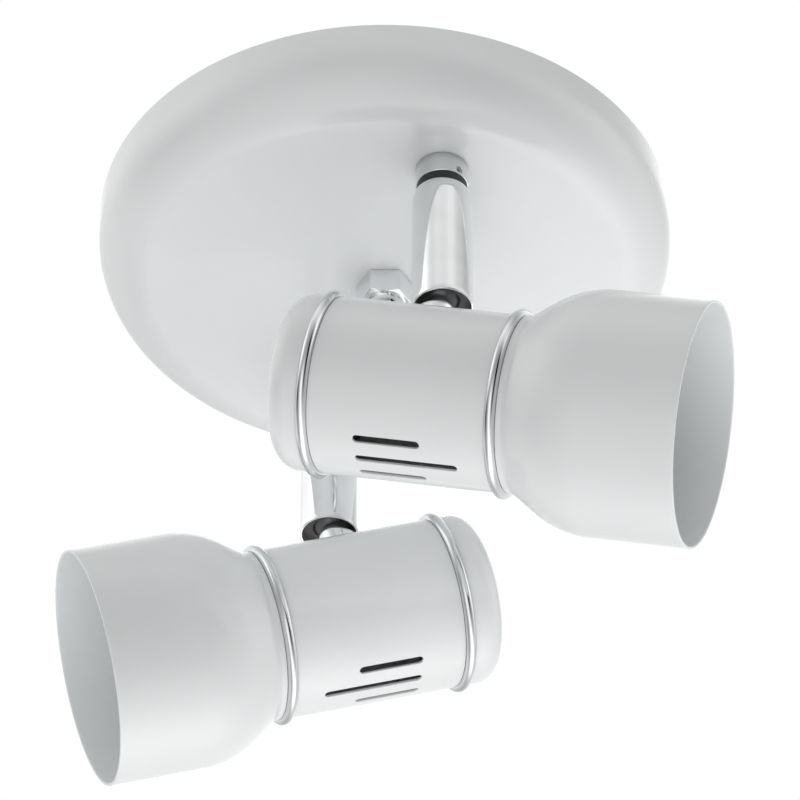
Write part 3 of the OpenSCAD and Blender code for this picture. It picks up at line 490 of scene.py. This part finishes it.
white_paint = gloss_paint("white_enamel", (0.80, 0.81, 0.82))
inner_paint = gloss_paint("white_enamel_inside", (0.81, 0.825, 0.835), rough=(0.36, 0.48),
                          peel=0.00004, coat=0.1)
CHROME_ROUGH, CHROME_MARKS = (0.045, 0.10), 0.000001
chrome = plated_metal("chrome_plate", (0.86, 0.87, 0.88), CHROME_ROUGH, CHROME_MARKS)
# Painted shade: the collars get a darker copy of the chrome, standing in for their dimmer reflections,
# and painted contact shade that darkens them towards the plate
collar_chrome_painted_shade = plated_metal("chrome_collar_painted_shade", (0.77, 0.78, 0.79), CHROME_ROUGH, CHROME_MARKS)
paint_contact_shade(collar_chrome_painted_shade, -PLATE_H * MM, 0.0032, 0.7)
# Painted shade: the seam rings get a darker copy of the chrome, standing in for the dimmer reflections
# they show
ring_chrome_painted_shade = plated_metal("chrome_rings_painted_shade", (0.73, 0.74, 0.75), CHROME_ROUGH, CHROME_MARKS)
# Painted shade: a near-black colour for the chrome ball and stalk, standing in for the shade inside the
# stem's lower end
ball_painted_shade = plated_metal("dark_ball_painted_shade", (0.15, 0.15, 0.155), (0.3, 0.42))
zinc = plated_metal("zinc_plated_steel", (0.62, 0.64, 0.66), (0.28, 0.46), tint=(0.60, 0.61, 0.58))
spring_wire = plated_metal("spring_wire", (0.42, 0.43, 0.45), (0.28, 0.4))
brass = plated_metal("brass", (0.76, 0.58, 0.28), (0.28, 0.4), tint=(0.62, 0.44, 0.20))
cap_alloy = plated_metal("lamp_cap_alloy", (0.72, 0.73, 0.74), (0.28, 0.38), tint=(0.66, 0.66, 0.66))
solder = plated_metal("solder", (0.60, 0.60, 0.61), (0.35, 0.5))
black_plastic = moulded_plastic("black_acetal", (0.022, 0.022, 0.024))
grey_plastic = moulded_plastic("grey_acetal", (0.11, 0.107, 0.10))
cap_insulator = moulded_plastic("black_glass_insulator", (0.015, 0.013, 0.018), rough=(0.15, 0.26))
porcelain = fired_ceramic("unglazed_porcelain")
lamp_front = lamp_glass_material("frosted_glass", (0.88, 0.89, 0.90), (0.42, 0.55), 0.25)
lamp_mirror = plated_metal("mirrored_glass", (0.80, 0.81, 0.82), (0.16, 0.24))
sleeving = braided_sleeve("braided_sleeve")

CAD_FINISH = {
    "ceiling_plate": white_paint, "ceiling_strap": zinc, "centre_stud": zinc, "stud_nut": zinc,
    "cap_nut": chrome, "terminal_block": porcelain, "terminal_tubes": brass,
    "terminal_screws": zinc, "earth_screw": brass, "collar": chrome, "collar_nipples": zinc,
    "nipple_nuts": zinc, "stop_screws": zinc, "turning_washers": black_plastic,
    "plate_leads": sleeving, "stem_tube": chrome, "stem_spigot": brass,
    "spacer_sleeve": black_plastic, "joint_spring": spring_wire, "ball_cup": black_plastic,
    "ball_seat": grey_plastic, "stem_leads": sleeving, "swivel_ball": chrome,
    "neck_saddle": zinc, "neck_nut": zinc, "body_tube": white_paint, "rear_cap": white_paint,
    "rear_ring": chrome, "front_ring": chrome, "shade": white_paint, "lampholder": porcelain,
    "holder_contacts": brass, "holder_bracket": zinc, "holder_nut": zinc,
    "lamp_glass": lamp_front, "lamp_cap": cap_alloy, "head_leads": sleeving}
for node_name, node_object in frame["nodes"].items():
    finish = CAD_FINISH.get(node_name) or CAD_FINISH[node_name[:-2]]
    node_object.data.materials.clear()
    node_object.data.materials.append(finish)


# The plate and what it carries

world = Matrix.Scale(MM, 4)

rim = 0.4
plate_low = -PLATE_H
plate_outline = np.concatenate([
    [[0, plate_low]],
    arc((PLATE_R - PLATE_ROUND, plate_low + PLATE_ROUND), PLATE_ROUND, -90, 0, 28),
    filleted([(PLATE_R, plate_low + PLATE_ROUND + 1, 0), (PLATE_R, 0, rim),
              (PLATE_R - PLATE_WALL, 0, rim), (PLATE_R - PLATE_WALL, plate_low + PLATE_ROUND + 1, 0)]),
    arc((PLATE_R - PLATE_ROUND, plate_low + PLATE_ROUND), PLATE_ROUND - PLATE_WALL, 0, -90, 28),
    [[0, plate_low + PLATE_WALL]]])
turned("plate_shell", "plate", plate_outline, world, white_paint,
       ["ceiling_plate"], 256)


def cap_nut_shape():
    """Hexagon whose radius is the sum of its three pairs of sides to a high power, so that the
    corners are a little round, cut by the cone that turns the corners down, then a dome."""
    a = np.linspace(0, 2 * np.pi, 6 * 24 + 1)
    sides = sum(np.abs(np.cos(a - np.pi / 2 - k * np.pi / 3)) ** 70 for k in range(3))
    hexagon = NUT_AF / 2 / sides ** (1 / 70)
    top, foot = -PLATE_H - OVER, -PLATE_H - OVER - NUT_HEX_H
    z = np.concatenate([[top], np.linspace(top - 0.15, foot + 0.9, 16),
                        np.linspace(foot + 0.85, foot, 16)])
    cone = NUT_AF / 2 - 0.25 + (z - foot) / 0.6
    r = np.minimum(hexagon[None], cone[:, None])
    r[0] -= 0.15
    dome = np.radians(np.linspace(0, 90, 25))
    r = np.concatenate([r, np.repeat(NUT_DOME_R * np.cos(dome)[:, None], len(a), 1)])
    z = np.concatenate([z, foot - NUT_DOME_R * np.sin(dome)])
    r = np.concatenate([0 * r[:1], r])
    z = np.concatenate([[top], z])
    return grid_piece(np.stack([r * np.cos(a), r * np.sin(a), np.repeat(z[:, None], len(a), 1)], -1))


make_piece("cap_nut_polished", "plate", cap_nut_shape(), world, [chrome],
           ["cap_nut"], 30)
make_piece("threaded_stud", "plate",
           grid_piece(threaded(STUD_R, 0.5, 1.25, -PLATE_H - 11.5, STUD_TOP)), world, [zinc],
           ["centre_stud"])


def plate_route(y_side, place):
    """Route of a pair of leads: out of two brass tubes, over to a stem's place by the given
    shares of the way, and down into its threaded tube. Returns points and their spread."""
    start = np.array([POLE_X, y_side * (BLOCK_W / 2 + 1)])
    way = place - start
    shares = np.array([0.08, 0.22, 0.45, 0.7, 0.88, 0.97])
    heights = [POLE_Z - 0.2, POLE_Z - 0.9, POLE_Z - 2, NIPPLE_TOP + 8, NIPPLE_TOP + 7, NIPPLE_TOP + 4]
    points = ([[POLE_X, y_side * 8 / 3, POLE_Z], [POLE_X, y_side * (BLOCK_W / 2 - 1.5), POLE_Z],
               [*start, POLE_Z]]
              + [[*(start + k * way), z] for k, z in zip(shares, heights)]
              + [[*place, NIPPLE_TOP - 1], [*place, -PLATE_H - NIPPLE_GRIP + 0.4]])
    return np.array(points), np.array([7.5, 7.5, 7.5, 6.9, 5.2, 3.2, 2.9, 2.6, 2.1, 2.1, 2.1])


leads = []
for side, y_side in (("a", -1), ("b", 1)):
    points, apart = plate_route(y_side, np.array(place_matrix(side).translation)[:2] / MM)
    for s in (-0.5, 0.5):
        way = spline(points + s * apart[:, None] * [1, 0, 0], 6)
        leads.append(grid_piece(tube_along(way, LEAD_R)))
make_piece("sleeved_plate_leads", "plate", joined(*leads), world, [sleeving],
           ["plate_leads"])

nipples = []
washers = []
for side in "ab":
    place = place_matrix(side)
    stop_z = COLLAR_END + STOP_RISE
    field = (stop_z - 1.7, stop_z + 1.7, 0.215)
    shape = pierced_tube(COLLAR_R, COLLAR_BORE, COLLAR_END, -PLATE_H - OVER, 0.28,
                         [(2 * STOP_R, 2 * STOP_R, stop_z, STOP_BEARING, field)], 0.35, 0.044)
    make_piece("collar_turned_" + side, "plate", shape, place, [collar_chrome_painted_shade],
               ["collar_" + side])
    top, foot = COLLAR_END - OVER, COLLAR_END - OVER - WASHER_T
    washer = filleted([(COLLAR_BORE, top, 0.15), (COLLAR_BORE, foot, 0.15),
                       (WASHER_R, foot, 0.35), (WASHER_R, top, 0.35)], True)
    grid, faces = grid_piece(revolved(washer))
    move = np.array(place.translation) / MM
    washers.append((grid + move, faces))
    grid, faces = grid_piece(threaded(NIPPLE_R, 0.45, 1.0, -PLATE_H - NIPPLE_GRIP, NIPPLE_TOP,
                                      NIPPLE_BORE))
    nipples.append((grid + move, faces))
make_piece("turning_washers_moulded", "plate", joined(*washers), world, [black_plastic],
           ["turning_washers"])
make_piece("nipples_threaded", "plate", joined(*nipples), world, [zinc],
           ["collar_nipples"])


# Stems and heads

def stem_outline():
    """Closed outline of a stem: rounded shoulder, straight wall, rolled lower edge, bore and the
    hole in its crown."""
    bend = (SHOULDER_H ** 2 + SHOULDER_IN ** 2) / (2 * SHOULDER_IN)
    low = math.degrees(math.asin(SHOULDER_H / bend))
    shoulder = arc((STEM_R - bend, STEM_Z - SHOULDER_H), bend, low, 0, 14)[1:]
    bore, under = STEM_R - STEM_WALL, STEM_Z - CROWN_T
    top = filleted([(COLLAR_BORE, under, 0.1), (COLLAR_BORE, STEM_Z, 0.15),
                    (STEM_R - SHOULDER_IN, STEM_Z, 0.3), tuple(shoulder[0]) + (0,)])
    foot = filleted([(STEM_R, STEM_END + 2, 0), (STEM_R, STEM_END, 0.25), (bore, STEM_END, 0.2),
                     (bore, under, 0.3), (COLLAR_BORE, under, 0)])
    return np.concatenate([top[:-1], shoulder, foot])


def neck_shape():
    """Ball, stalk and neck turned in one; the neck's foot follows the body's round, so its
    height there is the root of the body's radius squared less the sideways distance squared.
    The ball and the stalk are of the second material, a near-black colour painted in for the shade
    inside the stem's lower end."""
    top = HEAD_DROP - NECK_DROP
    meet = math.degrees(math.asin(STALK_R / BALL_R))
    ball = arc((0, HEAD_DROP), BALL_R, 90, -90 + meet, 40)[1:]
    outline = np.concatenate([
        [[0, HEAD_DROP + BALL_R]], ball,
        filleted([(STALK_R, HEAD_DROP - BALL_R * math.cos(math.radians(meet)) - 0.02, 0),
                  (STALK_R, top, 0.25), (NECK_R, top, 0.45), (NECK_R, top - 1.2, 0)], steps=7)])
    grid = revolved(outline, 144)
    a = np.linspace(0, 2 * np.pi, 145)
    rows = []
    for r, lift in ((NECK_R, 0.35), (NECK_R, 0.12), (NECK_R - 0.25, 0.03), (SHANK_R, 0.03)):
        z = np.sqrt(BODY_R ** 2 - (r * np.sin(a)) ** 2) + lift
        rows.append(np.stack([r * np.cos(a), r * np.sin(a), z], -1))
    shank = np.stack([SHANK_R * np.cos(a), SHANK_R * np.sin(a), 0 * a + SHANK_END], -1)
    end = np.stack([0 * a, 0 * a, 0 * a + SHANK_END], -1)
    grid = np.concatenate([grid, np.array(rows), shank[None], end[None]])
    bright = np.arange(len(grid) - 1) > len(ball) + 4
    return grid_piece(grid), np.repeat(np.where(bright, 0, 1), 144)


def shade_outline():
    """Closed outline of the shade: neck, cone, bend and straight mouth outside, the same drawn in
    by the wall inside, and a rounded edge at the mouth. Returns it with the row at which the
    inside begins."""
    start = FRONT_SEAM + HALF_RING
    foot = BODY_R - BODY_WALL + SHADE_WALL
    bend_r = MOUTH_R - FLARE_R * (1 - math.cos(FLARE))
    straight = start + SHADE_NECK + (bend_r - foot) / math.tan(FLARE) + FLARE_R * math.sin(FLARE)
    mouth = start + SHADE_LEN
    centre = (MOUTH_R - FLARE_R, straight)
    outer = arc(centre, FLARE_R, -math.degrees(FLARE), 0, 24)
    inner = arc(centre, FLARE_R - SHADE_WALL, 0, -math.degrees(FLARE), 24)
    lip = filleted([(MOUTH_R, mouth - 2, 0), (MOUTH_R, mouth, 0.35), (MOUTH_R - SHADE_WALL, mouth, 0.35),
                    (MOUTH_R - SHADE_WALL, mouth - 2, 0)])
    inside = (foot - SHADE_WALL, start + SHADE_NECK + SHADE_WALL * math.tan(FLARE / 2))
    neck = filleted([tuple(inner[-1]) + (0,), inside + (1.0,), (foot - SHADE_WALL, start, 0.15),
                     (foot, start, 0.3), (foot, start + SHADE_NECK, 1.9), tuple(outer[0]) + (0,)])
    inside_row = len(neck) - 1 + len(outer) + len(lip) // 2
    return np.concatenate([neck[:-1], outer, lip, inner, neck[:1]]), inside_row


def ring_outline(seam):
    """Closed outline of a seam ring: a half-round bead outside, a thin sleeve inside."""
    bead = RING_W / 2
    out_r = BODY_R - BODY_WALL - OVER
    reach = HALF_RING + SLEEVE - OVER
    crown = arc((RING_R - bead, seam), bead, -90, 90, 20)
    return np.concatenate([
        filleted([(out_r - SLEEVE_T, seam + reach, 0), (out_r - SLEEVE_T, seam - reach, 0.15),
                  (out_r, seam - reach, 0.15), (out_r, seam - bead, 0.1), tuple(crown[0]) + (0,)]),
        crown[1:-1],
        filleted([tuple(crown[-1]) + (0,), (out_r, seam + bead, 0.1), (out_r, seam + reach, 0.15),
                  (out_r - SLEEVE_T, seam + reach, 0)])])


def cap_outline():
    """Closed outline of the rear cap: flat back, rounded edge, open front."""
    front = REAR_SEAM - HALF_RING
    back = front - CAP_LEN
    bore = BODY_R - BODY_WALL
    return np.concatenate([
        [[0, back]], arc((BODY_R - CAP_ROUND, back + CAP_ROUND), CAP_ROUND, -90, 0, 20),
        filleted([(BODY_R, back + CAP_ROUND + 1, 0), (BODY_R, front, 0.3), (bore, front, 0.3),
                  (bore, back + CAP_ROUND + 1, 0)]),
        arc((BODY_R - CAP_ROUND, back + CAP_ROUND), CAP_ROUND - BODY_WALL, 0, -90, 20),
        [[0, back + BODY_WALL]]])


def body_shape():
    """Body tube with its vent slots. The tube stands along Z here, so the angle counts round
    from the underside."""
    openings = []
    for i in (-1, 0, 1):
        length = VENT_LONG if i == 0 else VENT_SHORT
        openings.append((length, VENT_W, VENT_REAR + length / 2, i * VENT_STEP,
                         (*VENT_FIELD, VENT_STEP / 2)))
    return pierced_tube(BODY_R, BODY_R - BODY_WALL, REAR_SEAM + HALF_RING, FRONT_SEAM - HALF_RING, 0.25,
                        openings, 1.34, 0.048)


# Z to +X, and the angle's start to the head's underside
BODY_TURN = Matrix(((0, 0, 1, 0), (0, 1, 0, 0), (-1, 0, 0, 0), (0, 0, 0, 1)))


def lamp_outline():
    """Glass of the reflector lamp: its radius grows with the sine of the way along to a power,
    then a tight edge and a slightly crowned face. Returns it with the row where the face begins."""
    t = np.linspace(0, 1, 40)
    r = LAMP_NECK_R + (LAMP_R - LAMP_NECK_R) * np.sin(t * np.pi / 2) ** 1.6
    x = LAMP_TIP + CAP_LEN_LAMP + t * (LAMP_FACE - 5 - LAMP_TIP - CAP_LEN_LAMP)
    bulb = np.concatenate([[[LAMP_NECK_R, LAMP_TIP + CAP_RIM]], np.stack([r, x], -1)])
    drawn_in = np.array([0.2, 1.0, 2.3, 4.5, 8, LAMP_R / 2, LAMP_R * 3 / 4, LAMP_R])
    drop = np.array([3.8, 2.7, 1.8, 1.15, 0.65, 0.28, 0.07, 0.02])
    face = np.stack([LAMP_R - drawn_in, LAMP_FACE - drop], -1)
    return np.concatenate([[[0, bulb[0, 1]]], bulb, face]), len(bulb) + 1


def lamp_cap_shape():
    """Screw cap of the lamp: the wall swells in a rounded thread that climbs as it turns; the
    tip steps in over the insulator to a blob of solder."""
    a = np.linspace(0, 2 * np.pi, 97)
    tip = np.array([[0, 0], [1.6, 0.1], [2.1, 0.6], [2.3, 1.2], [4.4, 2.1], [5.9, 4.1], [6.25, 4.8]])
    z = np.linspace(4.9, CAP_RIM + 0.9, 100)[:, None]
    wave = 0.5 + 0.5 * np.cos(2 * np.pi * (z / LAMP_PITCH - a / (2 * np.pi)))
    fade = np.clip(np.minimum(z - 5.2, 18.8 - z) / (LAMP_PITCH / 2), 0, 1)
    r = LAMP_CAP_R - LAMP_ROOT_IN + LAMP_CREST * wave ** 1.3 * fade
    side = np.stack([r * np.cos(a), r * np.sin(a), np.broadcast_to(z, r.shape) + LAMP_TIP], -1)
    nose = revolved(tip + [0, LAMP_TIP], 96)
    close = revolved(np.array([[5.55, LAMP_TIP + CAP_RIM + 0.95], [5.55, LAMP_TIP + CAP_RIM - 0.5]]), 96)
    grid = np.concatenate([nose, side, close])
    row = np.arange(len(grid) - 1)
    zones = np.repeat(np.where(row < 3, 2, np.where(row < 5, 1, 0)), 96)
    return grid_piece(grid), zones


for side in "ab":
    stem, head = "stem_" + side, "head_" + side
    at_stem, at_head = stem_matrix(side), head_matrix(side)
    along = at_head @ ALONG_X
    turned("stem_chromed_" + side, stem, stem_outline(), at_stem, chrome,
           ["stem_tube_" + side])
    shape, zones = neck_shape()
    make_piece("neck_turned_" + side, head, shape, at_head, [chrome, ball_painted_shade],
               ["swivel_ball_" + side], zones=zones)
    make_piece("body_shell_" + side, head, body_shape(), at_head @ BODY_TURN, [white_paint],
               ["body_tube_" + side])
    turned("rear_shell_" + side, head, cap_outline(), along, white_paint,
           ["rear_cap_" + side], 192)
    for end, seam in (("rear", REAR_SEAM), ("front", FRONT_SEAM)):
        turned(end + "_bead_" + side, head, ring_outline(seam), along, ring_chrome_painted_shade,
               [end + "_ring_" + side], 192)
    outline, lip_row = shade_outline()
    zones = np.repeat((np.arange(len(outline) - 1) >= lip_row).astype(int), 192)
    make_piece("shade_spun_" + side, head, grid_piece(revolved(outline, 192)), along,
               [white_paint, inner_paint], ["shade_" + side], zones=zones)
    outline, face_row = lamp_outline()
    zones = np.repeat((np.arange(len(outline) - 1) < face_row - 1).astype(int), 144)
    make_piece("reflector_lamp_" + side, head, grid_piece(revolved(outline, 144)), along,
               [lamp_front, lamp_mirror], ["lamp_glass_" + side], zones=zones)
    shape, zones = lamp_cap_shape()
    make_piece("lamp_screw_cap_" + side, head, shape, along, [cap_alloy, cap_insulator, solder],
               ["lamp_cap_" + side], zones=zones)


# Camera: solved from the photograph's ellipses

SENSOR, FOCAL_PIXELS, PICTURE_PIXELS = 36.0, 5661.5, 800

eye = Vector((4.667, -1317.461, -1209.909)) * MM
ahead = Vector((0.0, 0.75711, 0.65329)).normalized()
up = Vector((-0.00188, -0.65329, 0.75711)).normalized()
right = ahead.cross(up).normalized()
up = right.cross(ahead)
camera = bpy.data.objects.new("camera", bpy.data.cameras.new("camera"))
bpy.context.scene.collection.objects.link(camera)
camera.data.sensor_width = SENSOR
camera.data.lens = SENSOR * FOCAL_PIXELS / PICTURE_PIXELS
camera.data.clip_start, camera.data.clip_end = 0.05, 50
camera.matrix_world = Matrix((
    (right.x, up.x, -ahead.x, eye.x), (right.y, up.y, -ahead.y, eye.y),
    (right.z, up.z, -ahead.z, eye.z), (0, 0, 0, 1)))
bpy.context.scene.camera = camera


# Surroundings: an even glow, broad lobes of light and narrower ones that take light away, each
# (bearing, height in degrees, strength). A lobe falls with the angle from its middle by the given
# power of half of one plus the cosine. In under 1% of the directions the sum dips below zero, to
# -0.09 at least. The camera itself sees plain white.

GLOW = 0.49
LOBE_POWER = 20.0
DIM_POWER = 45.0
LIGHT_TINT = (0.8, 0.805, 0.8, 1)
DIM_LOBES = [
    (-57, 18, -0.35), (-55, 2, -0.42), (-55, -17, -0.35), (-55, -38, -0.4), (-176, -10, -0.6),
    (-138, 42, -0.42), (-33, 43, -0.5), (0, 43, -0.4)]
LOBES = [
    (-117, 58, 0.872), (73, 50, 1.511), (-45, 39, 0.888), (145, 33, 0.85), (-163, 29, 1.273),
    (-5, 18, 1.257), (68, 5, 0.602), (140, -7, 0.68), (23, -16, 0.432), (-107, -42, 1.143),
    (83, -48, 1.138), (51, -58, 1.672), (-65, -82, 1.275)]

world_light = bpy.data.worlds.new("studio")
bpy.context.scene.world = world_light
world_light.use_nodes = True
tree = world_light.node_tree
place = add(tree, "ShaderNodeTexCoord")
way = add(tree, "ShaderNodeVectorMath", operation="NORMALIZE")
tree.links.new(place.outputs["Generated"], way.inputs[0])
total = None
lobes = [(*lobe, LOBE_POWER) for lobe in LOBES] + [(*lobe, DIM_POWER) for lobe in DIM_LOBES]
for bearing, height, strength, power in lobes:
    b, h = math.radians(bearing), math.radians(height)
    facing = add(tree, "ShaderNodeVectorMath", operation="DOT_PRODUCT")
    middle = (math.cos(h) * math.cos(b), math.cos(h) * math.sin(b), math.sin(h))
    facing.inputs[1].default_value = middle
    tree.links.new(way.outputs[0], facing.inputs[0])
    halved = add(tree, "ShaderNodeMath", operation="MULTIPLY_ADD")
    halved.inputs[1].default_value, halved.inputs[2].default_value = 0.5, 0.5
    tree.links.new(facing.outputs["Value"], halved.inputs[0])
    lobe = add(tree, "ShaderNodeMath", operation="POWER")
    lobe.inputs[1].default_value = power
    tree.links.new(halved.outputs[0], lobe.inputs[0])
    scaled = add(tree, "ShaderNodeMath", operation="MULTIPLY_ADD")
    scaled.inputs[1].default_value, scaled.inputs[2].default_value = strength, GLOW
    tree.links.new(lobe.outputs[0], scaled.inputs[0])
    if total is not None:
        tree.links.new(total, scaled.inputs[2])
    total = scaled.outputs[0]
background = tree.nodes["Background"]
background.inputs["Color"].default_value = LIGHT_TINT
tree.links.new(total, background.inputs["Strength"])
seen = add(tree, "ShaderNodeBackground", Color=(1, 1, 1, 1), Strength=1.0)
paths = add(tree, "ShaderNodeLightPath")
mix = add(tree, "ShaderNodeMixShader")
tree.links.new(paths.outputs["Is Camera Ray"], mix.inputs["Fac"])
tree.links.new(background.outputs[0], mix.inputs[1])
tree.links.new(seen.outputs[0], mix.inputs[2])
tree.links.new(mix.outputs[0], tree.nodes["World Output"].inputs["Surface"])

bpy.context.scene.view_settings.view_transform = "Standard"
